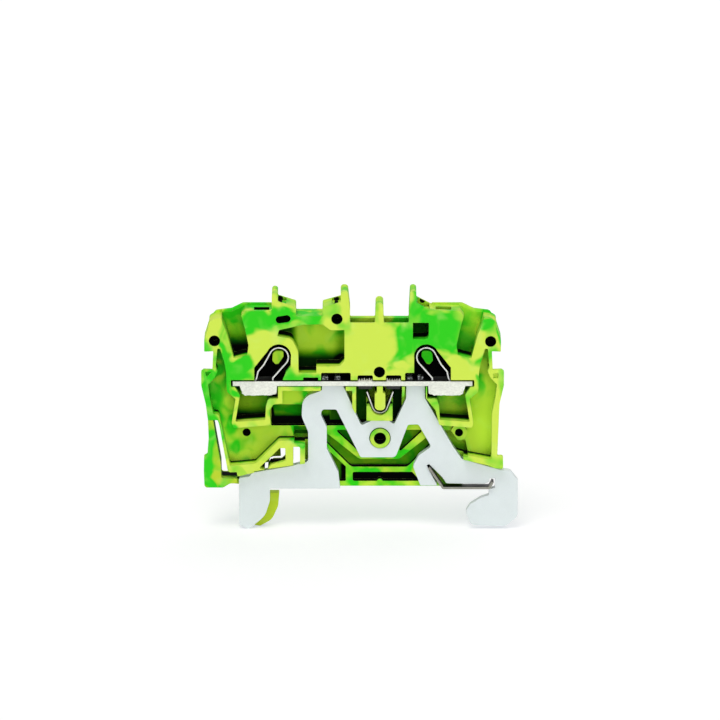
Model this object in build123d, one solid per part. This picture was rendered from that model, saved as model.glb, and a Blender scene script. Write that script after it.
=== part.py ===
"""Earth (ground) terminal block for a 35 mm top-hat rail, with two spring clamps and one open side.

Row frame, millimetres: +X runs across the rail, +Y along the rail towards the closed side of the
housing, +Z away from the rail. The origin is on the rail's centre line, at the plane of its top edges,
halfway through the block's width. Outlines are drawn in X and Z and get their depth along Y. The two
clamps are mirrored about the housing's own centre, so their outlines are drawn outwards from it.
"""

from build123d import *
import math
import os

# ---------------------------------------------------------------- driving dimensions
BLOCK_WIDTH = 5.2  # along the rail, closed wall included
LENGTH = 48.5  # housing, across the rail
HOUSING_OFFSET = 4.3  # housing's centre, to the left of the rail's centre line
SHOULDER_Z = 29.65  # flat top of the housing
RIB_TOP_Z = 32.9  # tip of the tall ribs beside the jumper slots
MID_RIB_DROP = 1.95  # how much lower the rib between them ends
BACK_WALL = 0.6  # closed side of the housing
SKIN = 0.5  # moulded skin in front of the hidden shafts
CORNER = 0.2  # usual corner radius of the moulding
RIM_RISE = 0.3  # ridge along the closed side of the shoulders
LEAD_IN = 0.45  # chamfer behind the wire funnels
SLOPE_END_Z = 28.74  # outer end of the sloping shoulder
NOSE_Z = 28.43  # where the shoulder turns down
LUG_TOP_Z = 20.07  # top of the lugs on the housing's ends
PAD_TOP_Z = 5.85  # top of the low block on the right end
LATCH_ARM_Z = 6.16  # top of the rail latch's outer step
LUG_SKIN = 0.7  # full-height front of a side lug
LUG_STEP = 1.35  # how far the lug drops behind it

RAIL_WIDTH = 35.0
RAIL_LIP = 1.0  # sheet thickness of the rail's edge
RAIL_CLEARANCE = 0.12
RAIL_TOP_GAP = 0.05  # housing over the rail's top edges

BUSBAR_Z = 17.25  # underside of the current bar
BUSBAR_T = 0.75
BUSBAR_LENGTH = 38.4
BUSBAR_SETBACK = 0.35  # from the open side
BUSBAR_GAP = 0.3  # free space round the bar
WINDOW_START = 12.6  # inner edge of a wire window, from the housing's centre
WINDOW_SPAN = 5.0
WINDOW_WALL = 0.5  # metal left round a wire window
COLLAR_DEPTH = 1.55  # drawn collar below the bar
JUMPER_X = 2.25  # middle of a jumper slot, from the rail's centre line
JUMPER_PIN = (1.2, 0.9)  # slot for a jumper's pin: across and along the rail

FOOT_SETBACK = 1.6  # from the open side to the ground foot
FOOT_T = 1.6
TENON_WIDTH = 0.9
TENON_RISE = 0.55  # riveted end above the bar
TENONS = (-8.7, -6.75, 4.85, 6.6)
FIT = 0.03  # between a tenon and its slot

CLAMP_U = 11.82  # loop centre, from the housing's centre
CLAMP_RISE = 3.85  # loop centre above the bar
LOOP_R = 1.53  # to the strip's middle
SPRING_T = 0.28
SPRING_GAP = 0.1  # beside the strip in its window
TONGUE_START = 30.0  # degrees round the loop, where the tongue begins

SOCKET_R = 0.9
SOCKET_DEPTH = 4.3
SOCKET_INSET = 2.15  # outer sockets from the ends of the housing
PEG_R = 0.83
PEG_LENGTH = 1.5
PEG_CHAMFER = 0.2
SLOT_SIZE = (2.4, 1.2)  # oblong socket in the open side
SLOT_TILT = 9.0
PILOT_R = 0.62
BOSS_R = 1.6
BOSS_HOLE_R = 0.95
BOSS_PROUD = 0.3  # in front of the ground foot
BOSS_CLEARANCE = 0.12

MOUTH = 4.0  # jumper slot between the ribs
SHAFT = 1.7  # jumper shaft lower down
MID_RIB = 1.4
TALL_RIB = 1.1
MOUTH_Z = 27.7

MARKER_LEFT, MARKER_RIGHT = -13.35, -9.1  # sides of the marker groove
MARKER_FLOOR_Z = 28.85

TINE_SPREAD = 2.1  # half the width of the jumper spring at its open end
TINE_T = 0.2
JUMPER_BEND = 3.35  # centre of its bend below the bar

LATCH_ROOT_Z = 11.7  # where the rail latch bends
LATCH_HOOK = 1.5  # reach under the rail's lip
HINGE_GAP = 0.03  # between the two halves of a bending strip
LATCH_GAP = 0.1  # between the latch and the ground foot in front of it

STRIP_T = 0.35  # contact strip on the rail
STRIP_WIDTH = 2.2

# ---------------------------------------------------------------- places worked out from them
FRONT = -BLOCK_WIDTH / 2
BACK = BLOCK_WIDTH / 2
FLOOR = BACK - BACK_WALL  # bottom of the deep recesses
FOOT_Y = FRONT + FOOT_SETBACK
SEAT = FOOT_Y + FOOT_T  # level that carries the ground foot
MID = -HOUSING_OFFSET
END = LENGTH / 2
BUSBAR_TOP = BUSBAR_Z + BUSBAR_T
BUSBAR_END = BUSBAR_LENGTH / 2
BUSBAR_Y = (FRONT + BUSBAR_SETBACK, FLOOR - 0.2)
WINDOW_Y = (BUSBAR_Y[0] + WINDOW_WALL, BUSBAR_Y[1] - WINDOW_WALL)
SPRING_Y = (WINDOW_Y[0] + SPRING_GAP, WINDOW_Y[1] - SPRING_GAP)
CLAMP_Z = BUSBAR_TOP + CLAMP_RISE
SLOT_TOP = BUSBAR_TOP + BUSBAR_GAP
SHOULDER_START = END - 6.7  # where the housing's flat top starts to slope down
SHOULDER_END = END - 4.85
JUMPER_BEND_Z = BUSBAR_Z - JUMPER_BEND
RAIL_EDGE = RAIL_WIDTH / 2 + RAIL_CLEARANCE
LIP_Z = -RAIL_LIP - RAIL_CLEARANCE
TALL_RIB_X = MID_RIB / 2 + MOUTH  # inner faces of the tall ribs
SOCKETS = (
    (MID - END + SOCKET_INSET, 24.74),
    (-6.8, 28.33),
    (0.0, 19.61),
    (MID + END - SOCKET_INSET, 24.64),
)
SLOT_AT = (-15.4, 28.28)
BOSS_AT = (0.1, 8.37)
PILOTS = ((-21.35, 8.93), (12.8, 9.03))
BEFORE = FRONT - 1.0  # cutters start in front of the open side
BEHIND = BACK + 1.0


# ---------------------------------------------------------------- drawing helpers
def rounded(*points, r=CORNER):
    """Closed outline in X and Z; each corner is rounded by r, or by its own third value."""
    corners = []
    count = len(points)
    for i, point in enumerate(points):
        here = Vector(point[0], 0, point[1])
        before = Vector(points[i - 1][0], 0, points[i - 1][1]) - here
        after = Vector(points[(i + 1) % count][0], 0, points[(i + 1) % count][1]) - here
        radius = point[2] if len(point) > 2 else r
        half = math.radians(before.get_angle(after)) / 2
        if radius <= 0 or half > math.radians(88):
            corners.append((here, None, here))
            continue
        reach = min(radius / math.tan(half), 0.45 * before.length, 0.45 * after.length)
        radius = reach * math.tan(half)
        inward = (before.normalized() + after.normalized()).normalized()
        middle = here + inward * (radius / math.sin(half) - radius)
        corners.append((here + before.normalized() * reach, middle, here + after.normalized() * reach))
    edges = []
    for i, (start, middle, end) in enumerate(corners):
        edges.append(Edge.make_line(corners[i - 1][2], start))
        if middle is not None:
            edges.append(Edge.make_three_point_arc(start, middle, end))
    return Face(Wire(edges))


def prism(outline, near, far):
    """The outline given a depth along Y, from near to far."""
    return Solid.extrude(Pos(0, near, 0) * outline, Vector(0, far - near, 0))


def pocket(*points, r=CORNER, floor=FLOOR):
    """A recess cut from the open side down to a floor."""
    return prism(rounded(*points, r=r), BEFORE, floor)


def island(*points, r=CORNER, near=FRONT, far=FLOOR + 0.1):
    """A wall or block that stands up from the floor to the open side."""
    return prism(rounded(*points, r=r), near, far)


def block(x0, x1, z0, z1, near, far, r=0.0):
    return prism(rounded((x0, z0), (x1, z0), (x1, z1), (x0, z1), r=r), near, far)


def drum(x, z, radius, near, far):
    """A round bar along Y."""
    return Pos(x, near, z) * Rot(-90, 0, 0) * Solid.make_cylinder(radius, far - near)


def sided(side, *points):
    """Points given outwards from the housing's centre, on its left (-1) or right (+1) half."""
    return [(MID + side * p[0], *p[1:]) for p in points]


def strip(path, thick, near, far):
    """Sheet metal of even thickness along a path in X and Z."""
    start = path @ 0
    across = (path % 0).cross(Vector(0, 1, 0)).normalized() * (thick / 2)
    low, high = Vector(start.X, near, start.Z), Vector(start.X, far, start.Z)
    section = Face(Wire.make_polygon([low + across, low - across, high - across, high + across]))
    return sweep(section, path).solid()


def tangent_point(centre, radius, point, turn):
    """Where a line from the point touches the circle; turn is the side, +1 or -1."""
    reach = math.hypot(point[0] - centre[0], point[1] - centre[1])
    angle = math.atan2(point[1] - centre[1], point[0] - centre[0]) + turn * math.acos(radius / reach)
    return centre[0] + radius * math.cos(angle), centre[1] + radius * math.sin(angle)


def xz(point):
    return Vector(point[0], 0, point[1])


# ---------------------------------------------------------------- housing
def half_outline(side):
    """Outer edge of one half, from its waist up to the shoulder."""
    return sided(
        side,
        (END - 0.7, 14.37, 3),
        (END, 17.45, 1),
        (END, 19.76, 0.3),
        (END - 0.4, LUG_TOP_Z, 0.15),
        (END - 1.8, 20.02, 0.1),
        (END - 1.95, 23.05, 0.1),
        (END - 0.5, 22.99, 0.15),
        (END - 0.5, 24.84, 0.6),
        (END - 1.2, 27.0, 2),
        (END - 1.3, 27.87, 0.6),
        (END - 2.3, NOSE_Z, 0.8),
        (SHOULDER_END, SLOPE_END_Z, 0.8),
        (SHOULDER_START, SHOULDER_Z, 0.8),
    )


def housing_outline():
    right_bottom = [
        (MID + END - 1.0, PAD_TOP_Z + 0.31, 0.3),
        (MID + END - 1.0, PAD_TOP_Z, 0.1),
        (MID + END - 0.1, PAD_TOP_Z, 0.3),
        (MID + END - 0.05, 3.64, 0.3),
        (MID + END - 1.45, 3.75, 0.3),
        (17.5, 4.21, 0.5),
        (13.4, 5.18, 0.2),
        (13.4, RAIL_TOP_GAP, 0.2),
    ]
    left_bottom = [
        (-11.9, RAIL_TOP_GAP, 0.2),
        (-11.9, 4.52, 0.1),
        (-17.6, 3.7, 0.2),
        (-20.4, 3.18, 0.5),
        (-24.3, 3.08, 0.5),
        (-25.05, 7.19, 3),
        (-25.7, 10.98, 0.5),
        (-25.95, LATCH_ROOT_Z, 0.2),
        (-26.68, LATCH_ROOT_Z, 0),
        (MID - END + 1.05, LATCH_ROOT_Z, 0),
    ]
    marker = [
        (-17.25, SHOULDER_Z, 0.2),
        (-17.2, RIB_TOP_Z - 0.25, 0.45),
        (-16.25, RIB_TOP_Z - 0.25, 0.45),
        (-16.25, 31.21, 0.2),
        (MARKER_LEFT, 30.28, 0.3),
        (MARKER_LEFT, MARKER_FLOOR_Z, 0.15),
        (MARKER_RIGHT, MARKER_FLOOR_Z, 0.15),
        (MARKER_RIGHT, 30.28, 0.3),
        (-TALL_RIB_X - TALL_RIB - 0.4, 31.1, 0.2),
    ]
    ribs = [
        (-TALL_RIB_X - TALL_RIB - 0.4, RIB_TOP_Z, 0.5),
        (-TALL_RIB_X - 0.35, RIB_TOP_Z, 0.5),
        (-TALL_RIB_X, 29.77, 2),
        (-TALL_RIB_X, MOUTH_Z, 0.2),
        (-MID_RIB / 2, MOUTH_Z, 0.2),
        (-MID_RIB / 2 + 0.1, RIB_TOP_Z - MID_RIB_DROP, 0.55),
        (MID_RIB / 2 - 0.1, RIB_TOP_Z - MID_RIB_DROP, 0.55),
        (MID_RIB / 2, MOUTH_Z, 0.2),
        (TALL_RIB_X, MOUTH_Z, 0.2),
        (TALL_RIB_X, 28.95, 1),
        (TALL_RIB_X + 0.2, RIB_TOP_Z, 0.45),
        (TALL_RIB_X + 0.2 + 1.0, RIB_TOP_Z, 0.45),
        (TALL_RIB_X + 0.2 + 1.0, 31.0, 0.2),
        (8.2, SHOULDER_Z + 0.15, 0.5),
    ]
    right_side = half_outline(+1)
    return rounded(*half_outline(-1), *marker, *ribs, *reversed(right_side), *right_bottom, *left_bottom)


def back_rims():
    """Low ridge along both shoulders, on the closed side."""
    ridges = []
    for side, end in ((-1, -17.3), (1, 8.4)):
        top = SHOULDER_Z + RIM_RISE
        ridges.append(
            prism(
                rounded(
                    (end, SHOULDER_Z - 0.5, 0),
                    (end, top, 0.1),
                    *sided(side, (SHOULDER_START, top, 0.8), (SHOULDER_END, SLOPE_END_Z + RIM_RISE, 0.8)),
                    *sided(side, (END - 2.3, NOSE_Z + RIM_RISE, 0.8), (END - 1.7, 27.9, 0), (17.0, 28.0, 0)),
                ),
                FLOOR - 0.1,
                BACK,
            )
        )
    return ridges


def seat_level():
    """The wide recess that holds the ground foot, with the two narrow pockets beside the clamps."""
    down_left = sided(
        -1,
        (20.2, 17.04),
        (20.25, 19.5, 1),
        (20.5, 21.04, 1),
        (21.2, 23.46),
        (21.65, 23.46),
        (21.9, 20.43, 0.3),
        (21.62, 19.71, 0.15),
        (22.1, 18.68, 0.6),
        (23.15, 17.55, 0.2),
        (22.9, 15.4, 2),
        (22.35, 12.73, 0.3),
    )
    return pocket(
        *down_left,
        (-25.75, 12.63, 0.5),
        (-25.1, 9.75, 4),
        (-24.0, 4.16, 0.3),
        (-19.9, 4.52, 0.6),
        (-16.15, 8.31, 0.5),
        (-11.95, 8.31, 0.3),
        (-11.95, -1.03, 0),
        (13.5, -1.03, 0),
        (13.5, 6.01, 0.1),
        (18.0, 5.13, 0.2),
        *reversed(sided(+1, *[(MID - p[0], *p[1:]) for p in down_left[1:-1]], (22.35, 12.73, 3))),
        *sided(+1, (20.2, 17.04), (20.1, 16.32, 0.5), (18.75, 15.19)),
        *sided(+1, (19.38, 11.29, 0.4), (19.2, 10.42, 0.4)),
        (9.6, 10.88, 0.3),
        (9.0, 13.34, 0.8),
        (7.45, 15.3, 0.2),
        (7.45, BUSBAR_Z + 0.1, 0),
        (-3.75, BUSBAR_Z + 0.1, 0),
        (-3.75, 16.53, 0.1),
        (-15.55, 16.53, 0.15),
        (-15.55, 14.47, 0.15),
        (-17.0, 14.27, 0.2),
        (-17.6, 13.34, 0.2),
        (-17.45, 10.88, 0.2),
        (-23.4, 10.37, 0.5),
        *sided(-1, (19.38, 11.29, 0.4), (18.75, 15.19), (20.1, 16.32, 0.5)),
        floor=SEAT,
    )


def deep_cells():
    """Recesses that reach the closed wall from the seat level, between its stiffening ribs."""
    cells = [
        pocket((-17.4, 10.06), (-17.4, 13.24), (-16.8, 13.55), (-5.0, 13.55), (-4.5, 12.83), (-4.5, 10.06)),
        pocket((-13.7, 7.8), (-13.7, 9.34), (-9.5, 9.34), (-9.5, 7.8), r=0.3),
        pocket((-3.7, 10.47), (-2.1, 10.47), (-2.1, BUSBAR_Z), (-3.7, BUSBAR_Z)),
        pocket((2.15, 10.68), (3.6, 10.68), (3.6, BUSBAR_Z), (2.15, BUSBAR_Z)),
        block(-15.35, -11.4, 16.12, 16.34, BEFORE, FLOOR),
        pocket((10.2, 9.34), (12.1, 6.16), (14.3, 5.49), (13.85, 7.7), (12.6, 7.8, 0.5), (11.6, 9.24, 0.5)),
        pocket((-6.6, 0.87), (-5.4, 0.87), (-5.4, 3.28), (-8.1, 5.85), (-8.1, 4.62)),
        pocket((-4.3, 0.87, 0.3), (6.6, 0.87), (5.3, 2.36), (-4.3, 2.36, 0.3)),
        pocket(
            (-8.6, 8.88),
            (-3.2, 4.52, 1),
            (3.2, 4.52, 1),
            (8.6, 8.88),
            (8.6, 7.34),
            (4.9, 3.59, 1),
            (4.4, 3.23, 0.5),
            (-4.4, 3.23, 0.5),
            (-4.9, 3.59, 1),
            (-8.6, 7.34),
        ),
    ]
    for side in (-1, 1):
        cells.append(pocket((7.1 * side, 9.34), (4.2 * side, 9.34), (3.0 * side, 5.44)))
    return cells


def jumper_bay():
    """Block and finger that hold the jumper spring under the bar."""
    centre = (BOSS_AT[0], JUMPER_BEND_Z)
    saddle = island((-2.05, 11.6), (2.1, 11.6), (2.1, 14.06), (1.5, 14.06), (-1.5, 14.06), (-2.05, 14.06))
    groove = [
        drum(*centre, 1.45, BEFORE, FLOOR),
        pocket(
            (-1.3, 13.55, 0),
            (1.5, 13.55, 0),
            (2.2, 14.99, 0),
            (2.2, BUSBAR_Z, 0),
            (-2.15, BUSBAR_Z, 0),
            (-2.15, 14.99, 0),
        ),
    ]
    finger = island(
        (-0.75, 13.34, 0.7),
        (0.95, 13.34, 0.7),
        (0.95, 16.01, 0.15),
        (0.55, 16.22, 0.1),
        (0.55, BUSBAR_Z - 0.05, 0),
        (-0.4, BUSBAR_Z - 0.05, 0),
        (-0.4, 16.22, 0.1),
        (-0.75, 16.01, 0.15),
    )
    return saddle, groove, finger


def clamp_bay(side):
    """Cutters of one clamp: funnel, spring chamber, wire chamber and tool shaft."""
    funnel = pocket(
        *sided(
            side,
            (16.9, SHOULDER_Z + 0.3, 0),
            (17.8, 28.9, 0.2),
            (17.2, 26.69, 2),
            (16.65, 24.02, 1),
            (16.85, 22.43, 0.1),
            (19.0, 21.86, 0.1),
            (20.05, 25.77, 3),
            (20.85, 27.92, 1),
            (21.4, 30.8, 0),
            (16.9, 30.8, 0),
        )
    )
    if side > 0:
        inner = [(9.85, SLOT_TOP - 0.2, 0)]
    else:
        inner = [(11.3, SLOT_TOP - 0.2, 0), (10.7, 19.5), (9.9, 20.53)]
    chamber = pocket(
        *sided(
            side,
            *inner,
            (CLAMP_U - LOOP_R - 0.42, CLAMP_Z + 0.1, 0.5),
            (CLAMP_U + 0.2, CLAMP_Z + 1.2, 0.5),
            (13.45, 23.25, 0.6),
            (14.55, 21.86, 0.2),
            (15.75, 20.33, 0.3),
            (15.75, SLOT_TOP - 0.2, 0),
        )
    )
    crown = drum(MID + side * CLAMP_U, CLAMP_Z + 0.35, LOOP_R + 0.45, BEFORE, FLOOR)
    wire_chamber = pocket(
        *sided(
            side,
            (WINDOW_START - 0.65, BUSBAR_Z + 0.2, 0),
            (18.95, BUSBAR_Z + 0.2, 0),
            (18.9, BUSBAR_Z - 0.1, 0.1),
            (18.05, 15.81, 0.3),
            (18.3, 14.27, 2),
            (18.8, 11.39, 0.2),
            (14.0, 11.75, 0.2),
            (13.9, 13.96, 0.9),
            (13.5, 15.19, 0.5),
            (WINDOW_START - 0.65, 15.19, 0.1),
        )
    )
    tool_shaft = prism(
        rounded(*sided(side, (13.35, 30.8), (15.9, 30.8), (14.9, 21.56), (13.0, 22.58)), r=0.1),
        FRONT + 0.9,
        FRONT + 3.0,
    )
    return [funnel, chamber, crown, wire_chamber, tool_shaft]


def lead_in(side):
    """Chamfer on the closed wall's rim where a wire funnel opens at the sloping shoulder."""
    cutters = []
    rim = ((17.1, SHOULDER_Z), (SHOULDER_START, SHOULDER_Z), (SHOULDER_END, SLOPE_END_Z), (21.0, 28.6))
    ends = [(x, z + RIM_RISE) for x, z in sided(side, *rim)]
    for start, end in zip(ends, ends[1:]):
        start, end = xz(start), xz(end)
        along = (end - start).normalized()
        up = Vector(along.Z, 0, -along.X) * -math.copysign(1, along.X)
        start = start - along * 0.1
        corners = [
            (FLOOR - 0.1, -LEAD_IN - 0.1),
            (BACK + 0.1, BACK_WALL - LEAD_IN + 0.1),
            (FLOOR - 0.1, 1.0),
        ]
        wedge = Face(Wire.make_polygon([start + up * rise + Vector(0, y, 0) for y, rise in corners]))
        cutters.append(Solid.extrude(wedge, end - start))
    return cutters


def lug_steps():
    """Side lugs drop behind their front skin; the left one has a sunk notch, the right one a square."""
    behind = (FRONT + LUG_SKIN, BEHIND)
    outer = END + 1.0
    cutters = []
    for side in (-1, 1):
        low, high = sorted(MID + side * u for u in (END - 1.8, outer))
        cutters.append(block(low, high, LUG_TOP_Z - LUG_STEP, 21.0, *behind))
    cutters.append(block(MID + END - 1.0, MID + outer, PAD_TOP_Z - LUG_STEP, PAD_TOP_Z + 0.25, *behind))
    notch = rounded((-27.95, 19.65, 0), (-26.95, 19.65, 0), (-27.2, 19.3, 0), (-27.7, 18.9, 0), r=0)
    cutters.append(prism(notch, BEFORE, FRONT + SKIN))
    cutters.append(block(18.25, 19.05, 18.6, 19.4, BEFORE, FRONT + SKIN))
    return cutters


def bar_channel():
    """Slot for the current bar and the recesses over its rivets and jumper contacts."""
    reach = BUSBAR_END + BUSBAR_GAP
    return [
        block(MID - reach, MID + reach, BUSBAR_Z - 0.1, SLOT_TOP, BEFORE, FLOOR, r=0.1),
        block(-9.35, -4.6, BUSBAR_Z, 19.5, BEFORE, FLOOR, r=0.25),
        block(4.1, MID + 10.4, BUSBAR_Z, 19.5, BEFORE, FLOOR, r=0.25),
        block(-12.2, -9.8, BUSBAR_Z, 18.73, BEFORE, FLOOR, r=0.1),
        block(-JUMPER_X - 1.25, -JUMPER_X + 1.2, BUSBAR_Z, 19.09, BEFORE, FLOOR, r=0.25),
        block(JUMPER_X - 1.2, JUMPER_X + 1.25, BUSBAR_Z, 19.09, BEFORE, FLOOR, r=0.25),
    ]


def jumper_shafts():
    cutters = []
    for side in (-1, 1):
        inside, outside = MID_RIB / 2 + 0.05, TALL_RIB_X - 0.05
        shaft = rounded(
            (side * inside, MOUTH_Z + 1),
            (side * outside, MOUTH_Z + 1),
            (side * outside, MOUTH_Z - 1.5),
            (side * (JUMPER_X + SHAFT / 2), MOUTH_Z - 4.5),
            (side * (JUMPER_X + SHAFT / 2), SLOT_TOP),
            (side * (JUMPER_X - SHAFT / 2), SLOT_TOP),
            (side * (JUMPER_X - SHAFT / 2), MOUTH_Z - 4.5),
            (side * inside, MOUTH_Z - 1.5),
            r=0.1,
        )
        cutters.append(prism(shaft, FRONT + SKIN, BACK - 1.5))
    return cutters


def top_recesses():
    """Marker hooks, the web beside the right-hand rib, and the pockets of the upper front."""
    return [
        block(-16.25, -14.9, 30.39, 31.82, FRONT + SKIN, FLOOR),
        block(-7.6, -TALL_RIB_X - TALL_RIB - 0.4, 30.39, 31.82, FRONT + SKIN, FLOOR),
        block(6.05, 8.0, 29.36, 31.82, FRONT + SKIN, FLOOR),
        pocket(
            (-16.35, 25.51, 0.1),
            (-16.05, 26.54, 0.2),
            (-13.9, 27.0, 1),
            (-12.3, 27.41, 1),
            (-9.1, 27.46, 0.5),
            (-7.8, 26.48, 0.8),
            (-5.6, 26.54, 0.15),
            (-5.6, 21.45, 0.2),
            (-6.4, 20.58, 0.5),
            (-10.1, 20.58, 0.1),
            (-10.1, 19.5, 0.1),
            (-12.95, 19.5, 0.2),
            (-13.0, 22.99, 1),
            (-14.0, 25.05, 1.2),
        ),
        pocket((5.35, 25.0), (7.9, 25.0, 0.7), (7.9, 27.72), (5.35, 27.72), r=0.1),
    ]


def foot_passage():
    """Room in the wall under the bar for the ground foot's left prong."""
    return block(-9.4, -5.4, 16.42, BUSBAR_Z, BEFORE, SEAT)


def lower_left_gaps():
    """Openings through the corner beside the rail latch, and the recess round them."""
    window = block(-13.85, -12.75, 3.59, 7.29, BEFORE, BEHIND, r=0.2)
    slit = rounded(
        (-15.95, 5.95),
        (-15.15, 5.95),
        (-15.15, 4.75, 0.3),
        (-15.7, 4.25, 0.1),
        (-17.1, 4.2, 0.1),
        (-17.55, 3.3, 0),
        (-17.9, 3.3, 0),
        (-17.6, 4.4, 0.2),
        (-17.05, 4.6, 0.2),
        (-15.85, 4.65, 0.1),
        r=0.1,
    )
    recess = pocket(
        (-15.05, 5.03),
        (-15.1, 7.08),
        (-16.0, 7.08),
        (-19.4, 3.7),
        (-18.0, 3.49, 0),
        (-17.4, 4.36),
    )
    undercut = rounded((-15.1, 4.25), (-15.1, 6.9), (-16.0, 6.9), (-18.2, 4.6), (-17.75, 4.25))
    return [window, prism(slit, FLOOR - 0.1, BEHIND), recess, prism(undercut, FRONT + 1.0, FLOOR)]


def sockets():
    cutters = [drum(x, z, SOCKET_R, BEFORE, FRONT + SOCKET_DEPTH) for x, z in SOCKETS]
    cutters.append(oblong(*SLOT_SIZE, BEFORE, FRONT + SOCKET_DEPTH))
    cutters += [drum(x, z, PILOT_R, BEFORE, FLOOR) for x, z in PILOTS]
    cutters.append(drum(*BOSS_AT, BOSS_HOLE_R, BEFORE, FLOOR - 0.4))
    return cutters


def oblong(length, height, near, far):
    """Rounded bar along Y for the oblong socket and its peg."""
    bar = Pos(0, near, 0) * Rot(-90, 0, 0) * extrude(SlotOverall(length, height), far - near)
    return Pos(SLOT_AT[0], 0, SLOT_AT[1]) * Rot(0, -SLOT_TILT, 0) * bar


def pegs():
    """Pegs on the closed side, opposite the sockets, which plug into the next block."""
    made = []
    for x, z in SOCKETS:
        peg = Pos(x, BACK - 0.1, z) * Rot(-90, 0, 0) * Solid.make_cylinder(PEG_R, PEG_LENGTH + 0.1)
        made.append(chamfer(peg.edges().sort_by(Axis.Y)[-1], PEG_CHAMFER))
    clearance = SOCKET_R - PEG_R
    length, height = (size - 2 * clearance for size in SLOT_SIZE)
    made.append(oblong(length, height, BACK - 0.1, BACK + PEG_LENGTH))
    return made


def spring_post(side):
    """Teardrop post inside a clamp's loop."""
    return island(
        *sided(
            side,
            (11.1, CLAMP_Z + 1.15, 0.85),
            (12.75, CLAMP_Z + 1.15, 0.85),
            (12.85, CLAMP_Z - 0.4, 0.4),
            (12.35, CLAMP_Z - 1.0, 0.25),
            (11.85, CLAMP_Z - 0.9, 0.3),
            (11.05, CLAMP_Z + 0.3, 0.3),
        ),
        near=FRONT + 0.3,
    )


def housing():
    saddle, groove, finger = jumper_bay()
    walls = [
        island(
            (-4.35, 13.76, 0.1),
            (-3.75, 12.52, 0.1),
            (-3.75, BUSBAR_Z + 0.05),
            (-4.35, BUSBAR_Z + 0.05),
            r=0,
        ),
        island((3.65, 15.4, 0.1), (4.0, 15.71, 0.1), (4.1, BUSBAR_Z), (3.65, BUSBAR_Z), r=0),
        block(12.9, 14.2, 3.9, 5.6, SEAT, BACK),
        saddle,
    ]
    body = prism(housing_outline(), FRONT, BACK)
    body = body + back_rims()
    body = body - seat_level()
    body = body + walls
    body = body + drum(*PILOTS[1], 1.3, SEAT - 0.6, SEAT + 0.1)
    cutters = [*deep_cells(), *groove, *bar_channel(), *jumper_shafts()]
    cutters += [*top_recesses(), *lower_left_gaps(), *lug_steps()]
    for side in (-1, 1):
        cutters += [*clamp_bay(side), *lead_in(side)]
    body = body - [*cutters, foot_passage()]
    ejector_mark = drum(0.1, 0.8, 0.45, SEAT, FLOOR + 0.1)
    body = body + [finger, spring_post(-1), spring_post(+1), ejector_mark, *pegs()]
    body = body + drum(*BOSS_AT, BOSS_R, FOOT_Y - BOSS_PROUD, FLOOR + 0.1)
    body = body - sockets()
    return body


# ---------------------------------------------------------------- current bar and ground foot
def busbar():
    bar = block(MID - BUSBAR_END, MID + BUSBAR_END, BUSBAR_Z, BUSBAR_TOP, *BUSBAR_Y)
    window_end = WINDOW_START + WINDOW_SPAN
    cutters = []
    for side in (-1, 1):
        collar = prism(
            rounded(
                *sided(
                    side,
                    (WINDOW_START - WINDOW_WALL, BUSBAR_Z + 0.1, 0),
                    (window_end + WINDOW_WALL, BUSBAR_Z + 0.1, 0),
                    (window_end + WINDOW_WALL, BUSBAR_Z, 0),
                    (window_end, BUSBAR_Z - COLLAR_DEPTH + 0.2, 0.3),
                    (window_end - 1.6, BUSBAR_Z - COLLAR_DEPTH - 0.05, 1),
                    (window_end - 3.0, BUSBAR_Z - COLLAR_DEPTH + 0.05, 1),
                    (WINDOW_START - WINDOW_WALL + 0.1, BUSBAR_Z - COLLAR_DEPTH + 0.2, 0.3),
                )
            ),
            *BUSBAR_Y,
        )
        bar = bar + collar
        ends = sorted(MID + side * u for u in (WINDOW_START, window_end - 0.1))
        cutters.append(block(*ends, BUSBAR_Z - COLLAR_DEPTH - 1, BUSBAR_TOP + 1, *WINDOW_Y))
        contact = block(
            side * JUMPER_X - 1.1, side * JUMPER_X + 1.1, BUSBAR_Z - 0.65, BUSBAR_Z + 0.1, -1.6, 1.2, r=0.2
        )
        bar = bar + contact
        pin_x, pin_y = (size / 2 for size in JUMPER_PIN)
        pin = (side * JUMPER_X - pin_x, side * JUMPER_X + pin_x)
        cutters.append(block(*pin, BUSBAR_Z - 2, BUSBAR_TOP + 1, -pin_y - 0.2, pin_y - 0.2))
    half = TENON_WIDTH / 2 + FIT
    for x in TENONS:
        cutters.append(block(x - half, x + half, BUSBAR_Z - 1, BUSBAR_TOP + 1, FOOT_Y - FIT, SEAT + FIT))
    return bar - cutters


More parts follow.
